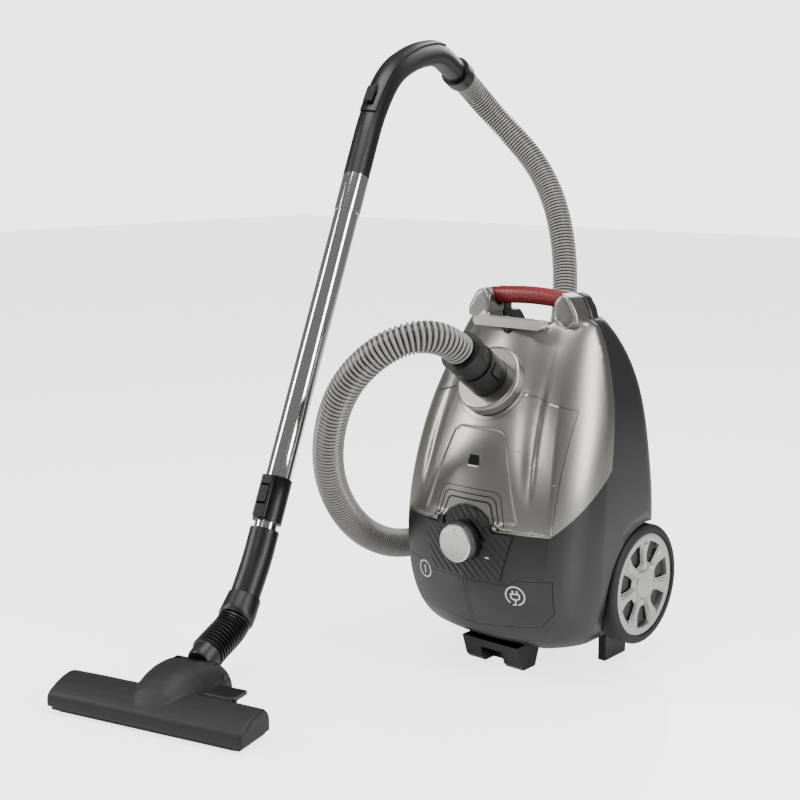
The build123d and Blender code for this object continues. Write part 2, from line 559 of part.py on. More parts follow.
def make_head():
    """Floor head: cover, sole, rollers, pedal, brush and bumper."""
    outline = [(0, 8), (0, 22), (10, 36), (24, HEAD_HEIGHT), (HEAD_DEPTH - 6, HEAD_HEIGHT - 4),
               (HEAD_DEPTH, 26), (HEAD_DEPTH, 8)]
    cover = side_prism(outline, HEAD_HALF)
    cover &= extrude(Plane.XY * Polygon((-HEAD_HALF, 0), (-HEAD_HALF, 50), (-128, HEAD_DEPTH), (128, HEAD_DEPTH),
                                        (HEAD_HALF, 50), (HEAD_HALF, 0), align=None), 100, both=True)
    cavity = side_prism([(3, 0), (3, 21), (11, 33), (24, HEAD_HEIGHT - 3), (HEAD_DEPTH - 8, HEAD_HEIGHT - 7),
                         (HEAD_DEPTH - 3, 25), (HEAD_DEPTH - 3, 0)], HEAD_HALF - 4)
    hump = side_prism([(20, 30), (46, 50), (70, 58), (116, 58), (132, 48), (136, 30), (130, 10), (58, 10)], 46)
    hump_room = side_prism([(30, 0), (30, 32), (50, 46), (70, 54), (80, 54), (80, 0)], 31)
    swing = block((-31, 31), (78, 220), (0, 200)) + rod_x(YOKE_RADIUS + 1, (-31, 31), PIVOT_Y, PIVOT_Z)
    cover = cover - cavity + hump - hump_room - swing
    cover -= block((-HEAD_HALF + 4, HEAD_HALF - 4), (3, HEAD_DEPTH - 3), (0, 14))
    cover -= rod_x(3.05, (-44, 44), PIVOT_Y, PIVOT_Z)
    cover -= rod_x(7, (-ROLLER_WELL_HALF, ROLLER_WELL_HALF), ROLLER_Y, ROLLER_Z)
    cover -= block((50, 92), (40, 100), (20, 60)) & rod_x(13, (50, 92), HEAD_DEPTH - 6, 36)
    keep("head_cover", cover, wand)
    sole = block((-HEAD_HALF + 5, HEAD_HALF - 5), (4, HEAD_DEPTH - 4), (3, 7))
    sole -= block((-112, 112), (22, 36), (0, 20))
    sole -= block((-126, 126), (7, 13), (0, 20))
    keep("head_sole", sole, wand)
    brush = block((-125, 125), (7.6, 12.4), (0.4, 14)) + block((-126, 126), (6, 14), (10.4, 14))
    keep("head_brush", brush, wand)
    rollers = [rod_x(6.6, (side * 38 - 5 * side, side * 38 + 5 * side) if side > 0 else (-43, -33), ROLLER_Y,
                     ROLLER_Z) - rod_x(2 + RUNNING, (-60, 60), ROLLER_Y, ROLLER_Z) for side in (1, -1)]
    keep("head_rollers", Compound(children=rollers), wand)
    pedal = block((52, 90), (HEAD_DEPTH - 4, HEAD_DEPTH + 26), (32, 37))
    pedal += rod_x(5, (52, 90), HEAD_DEPTH - 3, 34)
    pedal -= rod_x(2 + RUNNING, (40, 100), HEAD_DEPTH - 3, 34)
    keep("head_pedal", pedal, wand)
    pins = both_sides(rod_x(3, (24, 44), PIVOT_Y, PIVOT_Z))
    pins += [rod_x(2, (-45.5, 45.5), ROLLER_Y, ROLLER_Z), rod_x(2, (48, 94), HEAD_DEPTH - 3, 34)]
    keep("head_pins", Compound(children=pins), wand)


make_grip_and_latch()
make_port()
make_panel()
make_pedals()
make_wheels()
make_caster()
make_feet()
make_inside()
make_tubes()
make_hose(make_handle())
make_neck()
make_head()

if __name__ == "__main__":
    os.makedirs("parts", exist_ok=True)
    for name, shape in nodes.items():
        export_step(shape, f"parts/{name}.step")
    print(len(nodes), "nodes")
    free = [shape for name, shape in nodes.items() if name not in HOSE_PARTS]
    print("box", Compound(children=free).bounding_box())
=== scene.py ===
import json
import math

import bmesh
import bpy
from bpy.props import FloatProperty, FloatVectorProperty, PointerProperty
from mathutils import Matrix, Vector


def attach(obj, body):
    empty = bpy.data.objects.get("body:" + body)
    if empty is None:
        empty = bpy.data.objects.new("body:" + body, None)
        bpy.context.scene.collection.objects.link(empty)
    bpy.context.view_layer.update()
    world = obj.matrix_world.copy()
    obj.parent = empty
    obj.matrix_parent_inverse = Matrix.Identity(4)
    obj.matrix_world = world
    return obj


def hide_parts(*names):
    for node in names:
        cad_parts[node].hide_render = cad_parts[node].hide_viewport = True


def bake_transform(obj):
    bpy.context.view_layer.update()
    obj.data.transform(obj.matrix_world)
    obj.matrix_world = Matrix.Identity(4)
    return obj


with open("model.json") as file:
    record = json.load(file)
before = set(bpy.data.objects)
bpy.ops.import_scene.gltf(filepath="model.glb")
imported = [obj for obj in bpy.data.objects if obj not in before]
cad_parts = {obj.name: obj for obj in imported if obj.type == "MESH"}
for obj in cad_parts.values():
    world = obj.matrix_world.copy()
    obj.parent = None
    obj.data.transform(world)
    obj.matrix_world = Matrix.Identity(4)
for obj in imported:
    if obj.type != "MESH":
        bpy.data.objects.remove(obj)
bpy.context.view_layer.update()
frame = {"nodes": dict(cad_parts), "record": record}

bl_info = {
    "name": "Canister vacuum cleaner",
    "version": (1, 0, 0),
    "blender": (4, 5, 0),
    "location": "View3D > Sidebar > Cleaner",
    "description": "Looks of a canister vacuum cleaner over its engineering frame",
    "category": "Add Mesh",
}

FINISH = {}                                  # material by name, filled by the first operator
CANISTER = Vector((0.1365, 0.1377, 0.0))     # floor point under the canister, m
HEAD_TURN = math.radians(14)                 # the floor head's turn about the upright
WAND = Matrix.Translation(CANISTER + Vector((-0.179, -0.557, 0.0))) @ Matrix.Rotation(HEAD_TURN, 4, "Z")

# The hose's route in metres from the floor point under the canister: out of the cuff, down the
# left side, behind, and up to the wand's collar.
HOSE_ROUTE = [
    (0.0, -0.1935, 0.4218), (0.0, -0.2304, 0.4476), (-0.046, -0.280, 0.436), (-0.112, -0.294, 0.370),
    (-0.168, -0.258, 0.262), (-0.192, -0.184, 0.168), (-0.191, -0.098, 0.118), (-0.192, 0.005, 0.112),
    (-0.188, 0.112, 0.150), (-0.188, 0.206, 0.212), (-0.194, 0.284, 0.290), (-0.208, 0.340, 0.380),
    (-0.230, 0.376, 0.474), (-0.262, 0.398, 0.560), (-0.308, 0.408, 0.630), (-0.358, 0.396, 0.684),
    (-0.388, 0.372, 0.724), (-0.4014, 0.3350, 0.7621), (-0.3946, 0.3077, 0.7725),
]
HOSE_LENGTHS = {"hose_loop": (0, 7, 0.701), "hose_riser": (8, 11, 0.437), "hose_top": (12, 18, 0.442)}


# ---- small tools --------------------------------------------------------------------------
def linear(code, alpha=1.0):
    """A colour written as sRGB hex, turned to linear."""
    parts = [int(code[i:i + 2], 16) / 255 for i in (1, 3, 5)]
    turned = [c / 12.92 if c <= 0.04045 else ((c + 0.055) / 1.055) ** 2.4 for c in parts]
    return (*turned, alpha)


def add(mat, kind, settings=None, **links):
    """Add one node to a material: settings on its sockets or fields, links by socket name."""
    node = mat.node_tree.nodes.new(kind)
    for key, value in (settings or {}).items():
        if isinstance(key, int) or key in node.inputs:
            node.inputs[key].default_value = value
        else:
            setattr(node, key, value)
    for key, source in links.items():
        name = key.replace("_", " ")
        socket = node.inputs[int(key[1:])] if key[1:].isdigit() and key[0] == "i" else node.inputs[name]
        mat.node_tree.links.new(source, socket)
    return node


def start_material(name, colour, roughness, metallic=0.0, ior=1.5, coat=0.0):
    """A principled material with its even values set on the shader itself."""
    mat = bpy.data.materials.new(name)
    mat.use_nodes = True
    shader = mat.node_tree.nodes["Principled BSDF"]
    shader.inputs["Base Color"].default_value = linear(colour)
    shader.inputs["Roughness"].default_value = roughness
    shader.inputs["Metallic"].default_value = metallic
    shader.inputs["IOR"].default_value = ior
    shader.inputs["Coat Weight"].default_value = coat
    shader.inputs["Coat Roughness"].default_value = 0.12
    return mat, shader


def place(mat, scale):
    """Object coordinates, scaled from a real pattern size in millimetres."""
    where = add(mat, "ShaderNodeTexCoord")
    factor = 1000.0 / scale
    return add(mat, "ShaderNodeMapping", {"Scale": (factor, factor, factor)}, Vector=where.outputs["Object"])


def grain(mat, shader, size_mm, depth, strength=0.3, variation=0.06, roughness=None):
    """Fine moulded or sprayed grain: a bump and a slight change of tone and gloss."""
    spot = place(mat, size_mm)
    noise = add(mat, "ShaderNodeTexNoise", {"Scale": 1.0, "Detail": 2.0}, Vector=spot.outputs["Vector"])
    bump = add(mat, "ShaderNodeBump", {"Strength": strength, "Distance": depth / 1000},
               Height=noise.outputs["Fac"])
    mat.node_tree.links.new(bump.outputs["Normal"], shader.inputs["Normal"])
    wide = add(mat, "ShaderNodeTexNoise", {"Scale": 9.0, "Detail": 3.0},
               Vector=place(mat, 1000).outputs["Vector"])
    base = shader.inputs["Base Color"].default_value
    ramp = add(mat, "ShaderNodeValToRGB", None, Fac=wide.outputs["Fac"])
    ramp.color_ramp.elements[0].position = 0.3
    ramp.color_ramp.elements[1].position = 0.7
    ramp.color_ramp.elements[0].color = [c * (1 - variation) for c in base[:3]] + [1]
    ramp.color_ramp.elements[1].color = [min(1, c * (1 + variation)) for c in base[:3]] + [1]
    mat.node_tree.links.new(ramp.outputs["Color"], shader.inputs["Base Color"])
    if roughness:
        spread = add(mat, "ShaderNodeMapRange", {"To Min": roughness[0], "To Max": roughness[1]},
                     Value=noise.outputs["Fac"])
        mat.node_tree.links.new(spread.outputs["Result"], shader.inputs["Roughness"])
    return bump


# ---- materials ----------------------------------------------------------------------------
def silver_paint():
    # Metallic lacquer over moulded ABS: soft broad highlights with a very fine flake.
    mat, shader = start_material("silver_grey_metallic_lacquer", "#8d8b86", 0.29, metallic=0.95, coat=0.3)
    grain(mat, shader, 0.35, 0.02, 0.25, 0.03, (0.27, 0.34))
    return mat


def dark_abs():
    # Charcoal ABS with a satin spark-eroded finish.
    mat, shader = start_material("charcoal_satin_abs", "#1a1919", 0.36, ior=1.53)
    grain(mat, shader, 0.6, 0.03, 0.3, 0.05, (0.32, 0.42))
    return mat


def gloss_dark_abs():
    # The pedals' and lower front's smoother black-brown ABS.
    mat, shader = start_material("black_satin_abs", "#0e0e0e", 0.3, ior=1.53)
    grain(mat, shader, 0.6, 0.02, 0.2, 0.05, (0.28, 0.38))
    return mat


def black_pp():
    # Black polypropylene: soft gloss, slightly uneven.
    mat, shader = start_material("black_polypropylene", "#080808", 0.34, ior=1.49)
    grain(mat, shader, 0.8, 0.03, 0.25, 0.08, (0.32, 0.46))
    return mat


def head_abs():
    # Coarser spark-eroded texture of the floor head: matte charcoal with a fine speckle.
    mat, shader = start_material("textured_charcoal_abs", "#141312", 0.5, ior=1.5)
    grain(mat, shader, 1.1, 0.12, 0.6, 0.08, (0.48, 0.66))
    return mat


def ribbed_panel():
    # Diagonal ribs about 4 mm apart moulded into the control panel.
    mat, shader = start_material("ribbed_black_abs", "#0d0d0d", 0.34, ior=1.53)
    where = add(mat, "ShaderNodeTexCoord")
    turned = add(mat, "ShaderNodeMapping", {"Rotation": (0.0, math.radians(45), 0.0)},
                 Vector=where.outputs["Object"])
    wave = add(mat, "ShaderNodeTexWave", {"Scale": 1000 / 4.2 / 6.2832, "bands_direction": "X",
                                          "wave_profile": "SIN"}, Vector=turned.outputs["Vector"])
    bump = add(mat, "ShaderNodeBump", {"Strength": 0.9, "Distance": 0.0006}, Height=wave.outputs["Fac"])
    mat.node_tree.links.new(bump.outputs["Normal"], shader.inputs["Normal"])
    tone = add(mat, "ShaderNodeMapRange", {"To Min": 0.3, "To Max": 0.5}, Value=wave.outputs["Fac"])
    mat.node_tree.links.new(tone.outputs["Result"], shader.inputs["Roughness"])
    return mat


def red_grip():
    # Deep red soft-touch moulding with fine crossed ribs.
    mat, shader = start_material("red_textured_abs", "#74060a", 0.4, ior=1.5, coat=0.1)
    where = add(mat, "ShaderNodeTexCoord")
    bumps = None
    for angle in (40, -40):
        turned = add(mat, "ShaderNodeMapping", {"Rotation": (0.0, math.radians(angle), 0.0)},
                     Vector=where.outputs["Object"])
        wave = add(mat, "ShaderNodeTexWave", {"Scale": 1000 / 2.6 / 6.2832, "bands_direction": "X"},
                   Vector=turned.outputs["Vector"])
        bumps = wave if bumps is None else add(mat, "ShaderNodeMath", {"operation": "MULTIPLY"},
                                               i0=bumps.outputs["Fac"], i1=wave.outputs["Fac"])
    bump = add(mat, "ShaderNodeBump", {"Strength": 0.5, "Distance": 0.0004}, Height=bumps.outputs["Value"])
    mat.node_tree.links.new(bump.outputs["Normal"], shader.inputs["Normal"])
    return mat


def pale_silver():
    # Pale pearl lacquer on the release bar.
    mat, shader = start_material("pale_silver_lacquer", "#c4c3bf", 0.3, metallic=0.5, coat=0.3)
    grain(mat, shader, 0.35, 0.01, 0.2, 0.02)
    return mat


def wheel_silver():
    # Silver lacquer on the wheel caps, brighter and smoother than the shell's.
    mat, shader = start_material("bright_silver_lacquer", "#b4b3b0", 0.32, metallic=0.85, coat=0.3)
    grain(mat, shader, 0.35, 0.01, 0.2, 0.03)
    return mat


def brushed_knob(centre):
    # Turned aluminium: rings of fine scratches round the knob's axis.
    mat, shader = start_material("turned_aluminium", "#dddcda", 0.24, metallic=1.0)
    where = add(mat, "ShaderNodeTexCoord")
    moved = add(mat, "ShaderNodeMapping", {"Location": tuple(-c for c in centre)},
                Vector=where.outputs["Object"])
    flat = add(mat, "ShaderNodeVectorMath", {"operation": "MULTIPLY", 1: (1.0, 0.0, 1.0)},
               i0=moved.outputs["Vector"])
    radius = add(mat, "ShaderNodeVectorMath", {"operation": "LENGTH"}, i0=flat.outputs["Vector"])
    noise = add(mat, "ShaderNodeTexNoise", {"noise_dimensions": "1D", "Scale": 2500.0, "Detail": 3.0})
    mat.node_tree.links.new(radius.outputs["Value"], noise.inputs["W"])
    bump = add(mat, "ShaderNodeBump", {"Strength": 0.25, "Distance": 0.00004}, Height=noise.outputs["Fac"])
    mat.node_tree.links.new(bump.outputs["Normal"], shader.inputs["Normal"])
    spread = add(mat, "ShaderNodeMapRange", {"To Min": 0.2, "To Max": 0.38}, Value=noise.outputs["Fac"])
    mat.node_tree.links.new(spread.outputs["Result"], shader.inputs["Roughness"])
    return mat


def chrome():
    # Chromium plate on steel tube: nearly a mirror, with faint drawing marks.
    mat, shader = start_material("chromium_plate", "#dddddd", 0.07, metallic=1.0)
    grain(mat, shader, 8.0, 0.01, 0.1, 0.02, (0.05, 0.1))
    return mat


def hose_eva():
    # Grey EVA hose: glossy rib crests, with painted shade darkening the grooves between them.
    mat, shader = start_material("grey_eva_hose", "#8a8884", 0.3, ior=1.5, coat=0.25)
    grain(mat, shader, 1.5, 0.05, 0.2, 0.05, (0.26, 0.4))
    tone = shader.inputs["Base Color"].links[0].from_socket
    # Painted shade: the base colour darkens toward near-black as the groove deepens.
    depth = add(mat, "ShaderNodeAttribute", {"attribute_name": "groove"})
    shade = add(mat, "ShaderNodeMapRange", {"From Min": 0.05, "From Max": 0.8}, Value=depth.outputs["Fac"])
    dark = add(mat, "ShaderNodeMix", {"data_type": "RGBA", 7: linear("#191918")}, i0=shade.outputs["Result"],
               i6=tone)
    mat.node_tree.links.new(dark.outputs[2], shader.inputs["Base Color"])
    return mat


def rubber():
    # Soft black tyre compound.
    mat, shader = start_material("black_tpe_tyre", "#0b0b0b", 0.6, ior=1.52)
    grain(mat, shader, 1.0, 0.06, 0.4, 0.08, (0.55, 0.7))
    return mat


def plain_steel():
    # Bright zinc-plated steel of pins and springs.
    mat, shader = start_material("zinc_plated_steel", "#a9aaac", 0.32, metallic=1.0)
    grain(mat, shader, 2.0, 0.02, 0.2, 0.05)
    return mat


def fleece():
    # Off-white filter fleece with short fibres.
    mat, shader = start_material("filter_fleece", "#d9d5c8", 0.85)
    grain(mat, shader, 1.2, 0.3, 0.6, 0.06)
    return mat


def circuit_board():
    # Green solder mask over glass fibre.
    mat, shader = start_material("green_circuit_board", "#1f5a38", 0.35)
    grain(mat, shader, 2.0, 0.02, 0.2, 0.1)
    return mat


def smoked_window():
    # Smoked polycarbonate over the bag indicator.
    mat, shader = start_material("smoked_polycarbonate", "#0b0b0d", 0.08, ior=1.58, coat=0.6)
    grain(mat, shader, 3.0, 0.01, 0.1, 0.02)
    return mat


def white_print():
    # Pad-printed white ink.
    mat, shader = start_material("white_pad_print", "#e8e8e6", 0.5)
    grain(mat, shader, 0.5, 0.01, 0.2, 0.02)
    return mat


# ---- tools for making pieces --------------------------------------------------------------
def tip(x, y, z):
    """A point given in millimetres from the floor point under the canister."""
    return CANISTER + Vector((x, y, z)) / 1000


def wand_point(x, y, z):
    """A point given in millimetres from the floor head's own corner."""
    return WAND @ (Vector((x, y, z)) / 1000)


def deselect():
    if bpy.context.object and bpy.context.object.mode != "OBJECT":
        bpy.ops.object.mode_set(mode="OBJECT")
    bpy.ops.object.select_all(action="DESELECT")


def activate(obj):
    deselect()
    obj.select_set(True)
    bpy.context.view_layer.objects.active = obj


def settle(obj):
    """Put the object's place into its mesh, with its faces pointing outwards."""
    activate(obj)
    bpy.ops.object.transform_apply(location=True, rotation=True, scale=True)
    bpy.ops.object.mode_set(mode="EDIT")
    bpy.ops.mesh.select_all(action="SELECT")
    bpy.ops.mesh.remove_doubles(threshold=0.00001)
    bpy.ops.mesh.normals_make_consistent(inside=False)
    bpy.ops.object.mode_set(mode="OBJECT")
    return obj


def smooth(obj, angle=35):
    activate(obj)
    bpy.ops.object.shade_smooth_by_angle(angle=math.radians(angle))
    return obj


def finish(obj, kind, **values):
    """Add a modifier with its values and apply it."""
    activate(obj)
    change = obj.modifiers.new(kind.lower(), kind)
    for key, value in values.items():
        setattr(change, key, value)
    bpy.ops.object.modifier_apply(modifier=change.name)
    return obj


def paint(obj, mat, slot_name, body, *nodes):
    obj.data.materials.clear()
    obj.data.materials.append(mat)
    if nodes:
        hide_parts(*nodes)
    if body:
        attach(obj, body)
    return obj


def join(first, *others):
    deselect()
    for o in (first, *others):
        o.select_set(True)
    bpy.context.view_layer.objects.active = first
    bpy.ops.object.join()
    return first


def mesh_object(name, points, faces):
    mesh = bpy.data.meshes.new(name)
    mesh.from_pydata([tuple(p) for p in points], [], faces)
    obj = bpy.data.objects.new(name, mesh)
    bpy.context.scene.collection.objects.link(obj)
    return obj


# ---- the ribbed hose ----------------------------------------------------------------------
def middle(i, j):
    return (Vector(HOSE_ROUTE[i]) + Vector(HOSE_ROUTE[j])) / 2


def hose_controls(first, last):
    """A length of the route with a shared halfway point where it meets the next length."""
    points = [Vector(p) for p in HOSE_ROUTE[first:last + 1]]
    if first:
        points.insert(0, middle(first - 1, first))
    if last + 1 < len(HOSE_ROUTE):
        points.append(middle(last, last + 1))
    return [CANISTER + p for p in points]


def smooth_line(controls):
    """The route's NURBS spline as evenly spaced points."""
    curve = bpy.data.curves.new("line", "CURVE")
    curve.dimensions = "3D"
    spline = curve.splines.new("NURBS")
    spline.points.add(len(controls) - 1)
    for point, place_at in zip(spline.points, controls):
        point.co = (*place_at, 1.0)
    spline.order_u = 3
    spline.use_endpoint_u = True
    spline.resolution_u = 32
    obj = bpy.data.objects.new("line", curve)
    bpy.context.scene.collection.objects.link(obj)
    bpy.context.view_layer.update()
    mesh = bpy.data.meshes.new_from_object(obj)
    points = [v.co.copy() for v in mesh.vertices]
    bpy.data.objects.remove(obj)
    bpy.data.meshes.remove(mesh)
    lengths = [0.0]
    for a, b in zip(points, points[1:]):
        lengths.append(lengths[-1] + (b - a).length)
    return points, lengths


def at_length(points, lengths, s):
    """The point that lies s metres along a line."""
    low, high = 0, len(lengths) - 1
    while high - low > 1:
        mid = (low + high) // 2
        if lengths[mid] <= s:
            low = mid
        else:
            high = mid
    span = lengths[high] - lengths[low]
    t = 0.0 if span == 0 else (s - lengths[low]) / span
    return points[low].lerp(points[high], t)


# One rib as (share of its pitch, depth below the crest in mm)
RIB = [(0.0, 3.2), (0.2, 2.6), (0.34, 0.5), (0.55, 0.0), (0.8, 0.4), (0.92, 2.4)]
RING = 28


def ribbed_tube(name, points, lengths, radius, pitches):
    """A tube with rounded ribs whose pitch runs from the first value to the last."""
    total = lengths[-1]
    count = round(total / (sum(pitches) / len(pitches)))
    weights = []
    for k in range(count):
        place_at = (k + 0.5) / count * (len(pitches) - 1)
        low = min(int(place_at), len(pitches) - 2)
        weights.append(pitches[low] + (pitches[low + 1] - pitches[low]) * (place_at - low))
    scale = total / sum(weights)
    stops = []
    s = 0.0
    for w in weights:
        stops += [(s + share * w * scale, radius - depth / 1000) for share, depth in RIB]
        s += w * scale
    stops.append((total, radius - RIB[0][1] / 1000))
    centres = [at_length(points, lengths, min(s, total)) for s, _ in stops]
    tangents = []
    for s, _ in stops:
        ahead = at_length(points, lengths, min(s + 0.002, total))
        back = at_length(points, lengths, max(s - 0.002, 0.0))
        tangents.append((ahead - back).normalized())
    side = tangents[0].orthogonal().normalized()
    verts = []
    for (s, r), centre, along in zip(stops, centres, tangents):
        side = (side - along * side.dot(along)).normalized()
        other = along.cross(side)
        for k in range(RING):
            a = 2 * math.pi * k / RING
            verts.append(centre + (side * math.cos(a) + other * math.sin(a)) * r)
    faces = []
    for i in range(len(stops) - 1):
        for k in range(RING):
            n = (k + 1) % RING
            faces.append((i * RING + k, i * RING + n, (i + 1) * RING + n, (i + 1) * RING + k))
    last = (len(stops) - 1) * RING
    faces.append(tuple(range(RING - 1, -1, -1)))
    faces.append(tuple(last + k for k in range(RING)))
    obj = mesh_object(name, verts, faces)
    for f in obj.data.polygons:
        f.use_smooth = len(f.vertices) == 4
    # The groove depth kept on each point drives the hose material's painted shade in the grooves.
    depth = obj.data.attributes.new("groove", "FLOAT", "POINT")
    for i, (_, r) in enumerate(stops):
        for k in range(RING):
            depth.data[i * RING + k].value = (radius - r) * 1000 / RIB[0][1]
    return obj, centres


# ---- lines and marks laid on a surface ------------------------------------------------------
def laid_strip(name, points, width, target, height, closed=False, toward=Vector((0, 1, 0))):
    """A thin raised line: a ribbon dropped on to a surface along one direction, then given a
    thickness. Points are in metres, in order, and lie in front of the surface."""
    verts, faces = [], []
    n = len(points)
    for i, p in enumerate(points):
        before = points[i - 1] if (i or closed) else p
        after = points[(i + 1) % n] if (i + 1 < n or closed) else p
        along = (after - before).normalized()
        across = along.cross(toward).normalized() * width / 2
        verts += [p - across, p + across]
    for i in range(n if closed else n - 1):
        j = (i + 1) % n
        faces.append((2 * i, 2 * i + 1, 2 * j + 1, 2 * j))
    obj = mesh_object(name, verts, faces)
    drop(obj, target, toward)
    give_depth(obj, toward, height)
    return obj


def drop(obj, target, toward):
    """Move each point along one direction to the surface; past its edge a point keeps the
    travel of the nearest point that met it."""
    travel = {}
    for v in obj.data.vertices:
        hit, where, _, _ = target.ray_cast(v.co, toward)
        if hit:
            travel[v.index] = (where - v.co).dot(toward)
    if not travel:
        raise RuntimeError(f"{obj.name} misses {target.name}")
    for v in obj.data.vertices:
        near = min(travel, key=lambda k: abs(k - v.index))
        v.co = v.co + toward * travel[near]


def give_depth(obj, toward, height):
    """Thicken a laid sheet to stand proud by height, sunk a little into the surface."""
    mesh = bmesh.new()
    mesh.from_mesh(obj.data)
    bmesh.ops.translate(mesh, vec=-toward * height, verts=mesh.verts)
    made = bmesh.ops.extrude_face_region(mesh, geom=list(mesh.faces))
    moved = [g for g in made["geom"] if isinstance(g, bmesh.types.BMVert)]
    bmesh.ops.translate(mesh, vec=toward * (height + 0.0006), verts=moved)
    bmesh.ops.recalc_face_normals(mesh, faces=mesh.faces)
    mesh.to_mesh(obj.data)
    mesh.free()


def arc_points(cx, cz, y, radius, start, end, steps):
    """Points on an arc in an upright plane facing the front, in metres, angles in degrees."""
    made = []
    for k in range(steps + 1):
        a = math.radians(start + (end - start) * k / steps)
        made.append(tip(cx + radius * math.cos(a), y, cz + radius * math.sin(a)))
    return made


def run_points(corners, y, step=3.0):
    """Points along straight runs between corners (x, z) in mm."""
    made = []
    for (x0, z0), (x1, z1) in zip(corners, corners[1:]):
        count = max(1, round(math.hypot(x1 - x0, z1 - z0) / step))
        made += [tip(x0 + (x1 - x0) * k / count, y, z0 + (z1 - z0) * k / count) for k in range(count)]
    x, z = corners[-1]
    return made + [tip(x, y, z)]


# ---- sizes and colours a user would change ----------------------------------------------------
class HoseSettings(bpy.types.PropertyGroup):
    """The ribbed hose."""
    radius: FloatProperty(name="Crest radius", description="Outside radius of the ribs", default=0.020,
                          min=0.015, max=0.022, unit="LENGTH")
    top_pitch: FloatProperty(name="Pitch at the cuff", description="Rib spacing by the inlet", default=0.0060,
                             unit="LENGTH")
    pitch: FloatProperty(name="Pitch in the run", description="Rib spacing along the hanging run",
                         default=0.0052, unit="LENGTH")
    low_pitch: FloatProperty(name="Pitch at the bottom", description="Rib spacing where the loop is squeezed",
                             default=0.0042, unit="LENGTH")


class StageSettings(bpy.types.PropertyGroup):
    """Floor, lights and camera."""
    floor_tone: FloatVectorProperty(name="Floor", description="Colour of the glossy pale floor",
                                    subtype="COLOR", size=3, default=(0.86, 0.86, 0.86))
    floor_glow: FloatProperty(name="Floor glow", description="Light given off by the lit sweep of the floor",
                              default=2.4)
    sweep: FloatProperty(name="Background", description="Brightness of the plain background", default=3.4)
    fill: FloatProperty(name="Fill", description="Strength of the even light all round", default=0.22)
    key_power: FloatProperty(name="Main light", description="Power of the large light above", default=46.0,
                             unit="POWER")
    lens: FloatProperty(name="Lens", description="Focal length on a 36 mm sensor, in mm", default=63.0)


class CLEANER_OT_finishes(bpy.types.Operator):
    """Give every engineering piece its real finish"""
    bl_idname = "cleaner.finishes"
    bl_label = "Finishes"

    def execute(self, context):
        made = {
            "silver_shell": silver_paint(), "dark_shell": dark_abs(), "black_plastic": black_pp(),
            "grip_red": red_grip(), "latch_silver": pale_silver(), "knob_metal": brushed_knob(tip(0, 0, 182)),
            "wheel_silver": wheel_silver(), "tyre": rubber(), "chrome": chrome(), "hose": hose_eva(),
            "head_plastic": head_abs(), "steel": plain_steel(), "paper": fleece(),
            "clear_window": smoked_window(), "board": circuit_board(), "print": white_print(),
            "panel": ribbed_panel(), "pedal": gloss_dark_abs(),
        }
        FINISH.update(made)
        special = {
            "lid_hinge_pin": "black_plastic", "latch_spring": "black_plastic", "head_pins": "black_plastic",
            "lower_front_shell": "pedal", "power_pedal": "pedal", "rewind_pedal": "pedal",
            "control_panel": "panel",
        }
        for part in frame["record"]["subparts"]:
            node = frame["nodes"][part["node"]]
            mat = made[special.get(part["node"], part["material_slot"])]
            if not node.material_slots:
                node.data.materials.append(mat)
            for own in node.material_slots:
                own.material = mat
        return {"FINISHED"}


class CLEANER_OT_hose(bpy.types.Operator):
    """Model the ribbed hose as three lengths that follow one route"""
    bl_idname = "cleaner.hose"
    bl_label = "Ribbed hose"

    def execute(self, context):
        values = context.scene.cleaner_hose
        pitches = {
            "hose_loop": [values.top_pitch, values.top_pitch, values.pitch, values.low_pitch, values.low_pitch],
            "hose_riser": [values.low_pitch, values.pitch, values.pitch],
            "hose_top": [values.pitch, values.pitch, values.pitch],
        }
        for name, (first, last, length) in HOSE_LENGTHS.items():
            controls = hose_controls(first, last)
            points, lengths = smooth_line(controls)
            tube, path = ribbed_tube("ribbed_" + name, points, lengths, values.radius, pitches[name])
            paint(tube, FINISH["hose"], "hose", "canister" if name == "hose_loop" else None, name)
            if name == "hose_riser":
                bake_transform(tube)
            elif name == "hose_top":
                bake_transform(tube)
        return {"FINISHED"}


# ---- the sculpted silver front --------------------------------------------------------------
RECESS_TOP, RECESS_FOOT = 322.0, 199.0      # heights of the sunk panel's two ends
RECESS_DEPTH = 1.7
CHANNEL_DEPTH = 3.4


def ease(t):
    t = min(1.0, max(0.0, t))
    return t * t * (3 - 2 * t)


def relief(x, z):
    """How far the front is pressed in, in mm, at a place in mm: a sunk panel that widens
    downwards and, on each side of it, a soft channel that fades out above the dark plastic."""
    x = abs(x)
    half = 75 - 37 * (z - RECESS_FOOT) / (RECESS_TOP - RECESS_FOOT)
    side = ease((half - x) / 3.0)
    corner = ease((RECESS_TOP - z - max(0.0, x - half + 12) ** 2 / 16) / 3.5)
    sunk = RECESS_DEPTH * side * corner * ease((z - 207) / 8)
    middle_x = 84 - 22 * (z - 215) / 215
    width = 7 + 9 * ease((z - 215) / 190)
    across = (x - middle_x) / width
    shape = math.exp(-across * across) if across < 0 else math.exp(-across * across * 3.5)
    channel = CHANNEL_DEPTH * shape * ease((z - 214) / 70) * ease((450 - z) / 30)
    return sunk + channel


def front_detail(x, z):
    """How finely the mesh is divided at a place in mm."""
    half = 75 - 37 * (z - RECESS_FOOT) / (RECESS_TOP - RECESS_FOOT)
    near_edge = abs(abs(x) - half) < 6 and z < RECESS_TOP + 6
    near_top = abs(z - RECESS_TOP) < 6 and abs(x) < half + 6
    return 2.2 if near_edge or near_top else 5.5


def on_shoulder(where):
    """Whether a place in mm is on one of the two shoulders that hold the grip."""
    return where.z > 440 and abs(where.x) > 46 and where.y < -6


